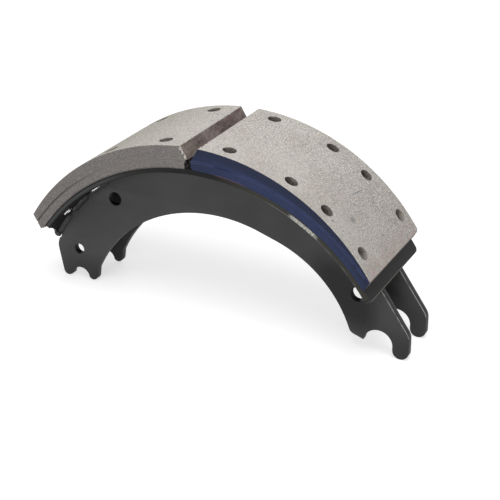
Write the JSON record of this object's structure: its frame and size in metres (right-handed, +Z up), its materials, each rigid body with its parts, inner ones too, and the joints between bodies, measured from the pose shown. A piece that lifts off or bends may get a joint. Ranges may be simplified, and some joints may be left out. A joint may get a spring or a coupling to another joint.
{
  "type": "brake shoe",
  "caption": "Curved drum brake shoe with twin webs under an arched table and thick riveted lining blocks that press against the inside of a brake drum.",
  "frame": {"origin": "on the axis of the anchor pin's seat, midway between the two webs", "axes": "+X from the cam end to the anchor end along the line on which the shoe rests level, +Y along the brake drum's axis away from the side that the picture shows, +Z up through the friction face"},
  "size_m": [0.3839, 0.127, 0.1815],
  "materials": {
    "table_paint": "satin dark grey paint, scuffed along the edges",
    "web_paint": "satin dark grey paint",
    "weld_paint": "painted weld, rippled",
    "lining": "matte, speckled moulded friction material",
    "rivet_metal": "plated, bright where rolled over"
  },
  "bodies": {
    "root": {"table": "table_paint", "front_web": "web_paint", "rear_web": "web_paint", "front_web_welds": "weld_paint", "rear_web_welds": "weld_paint", "cam_lining": "lining", "anchor_lining": "lining", "cam_rivet_1_front": "rivet_metal", "cam_rivet_1_rear": "rivet_metal", "cam_rivet_2_front": "rivet_metal", "cam_rivet_2_rear": "rivet_metal", "cam_rivet_3_front": "rivet_metal", "cam_rivet_3_rear": "rivet_metal", "cam_rivet_4_front": "rivet_metal", "cam_rivet_4_rear": "rivet_metal", "anchor_rivet_1_front": "rivet_metal", "anchor_rivet_1_rear": "rivet_metal", "anchor_rivet_2_front": "rivet_metal", "anchor_rivet_2_rear": "rivet_metal", "anchor_rivet_3_front": "rivet_metal", "anchor_rivet_3_rear": "rivet_metal", "anchor_rivet_4_front": "rivet_metal", "anchor_rivet_4_rear": "rivet_metal"}
  },
  "joints": []
}
